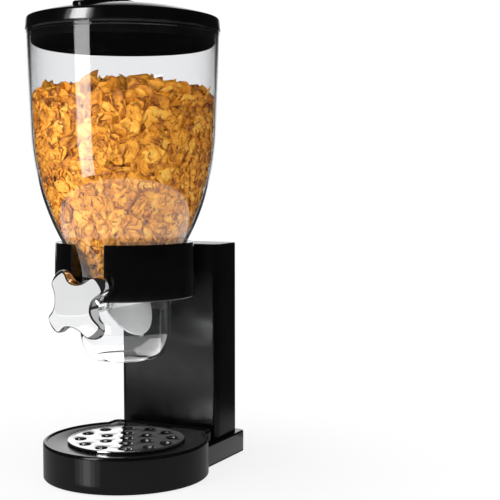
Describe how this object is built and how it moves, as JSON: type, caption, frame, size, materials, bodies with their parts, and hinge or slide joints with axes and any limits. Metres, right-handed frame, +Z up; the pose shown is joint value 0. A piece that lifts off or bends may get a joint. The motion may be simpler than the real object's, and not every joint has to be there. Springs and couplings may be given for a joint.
{
  "type": "cereal dispenser",
  "caption": "Countertop dry food dispenser: clear hopper with a knob-turned paddle wheel in its neck, black collar and column, round base with a perforated drip plate.",
  "frame": {"origin": "on the surface it stands on, under the middle of the whole object", "axes": "+Z up, front towards -Y, +X to the right seen from the front; the upright axis of hopper, chute and tray is at X = 0, Y = -19.25 mm"},
  "size_m": [0.162, 0.2004, 0.4003],
  "materials": {
    "black_gloss": "glossy moulded black",
    "black_matte": "matt moulded black",
    "clear": "clear moulded plastic",
    "chrome": "bright chrome plate",
    "steel": "plain steel",
    "rubber": "soft black",
    "silicone": "milky translucent",
    "acetal": "natural white"
  },
  "bodies": {
    "stand": {"base_shell": "black_gloss", "base_cover": "black_matte", "rubber_feet": "rubber", "base_screws": "steel", "column_shell": "black_gloss", "column_back": "black_gloss", "column_screws": "steel", "stand_bolts": "steel", "collar": "black_gloss", "collar_screws": "steel", "seat_pads": "rubber"},
    "drip_plate": {"drip_plate": "chrome"},
    "hopper": {"hopper_bowl": "clear", "chute": "clear", "neck_seal": "silicone", "front_bush": "acetal", "rear_bush": "acetal", "bush_seal": "rubber"},
    "lid": {"lid_cap": "black_gloss", "lid_grip": "black_gloss", "lid_plug": "black_gloss", "lid_seal": "rubber", "lid_screws": "steel", "grip_screws": "steel"},
    "wheel": {"knob": "chrome", "knob_hub": "chrome", "knob_screw": "steel", "drive_shaft": "steel", "paddle_hub": "acetal", "paddle_vanes": "silicone", "hub_pin": "steel", "thrust_washer": "acetal"}
  },
  "joints": [
    {"name": "drip_plate_lift", "type": "slide", "parent": "stand", "child": "drip_plate", "axis": [0, 0, 1], "range_m": [0, 0.03]},
    {"name": "hopper_lift", "type": "slide", "parent": "stand", "child": "hopper", "axis": [0, 0, 1], "range_m": [0, 0.11]},
    {"name": "lid_lift", "type": "slide", "parent": "hopper", "child": "lid", "axis": [0, 0, 1], "range_m": [0, 0.05]},
    {"name": "knob_turn", "type": "hinge", "parent": "hopper", "child": "wheel", "pos_m": [0, -0.01925, 0.153], "axis": [0, 1, 0], "continuous": true}
  ]
}
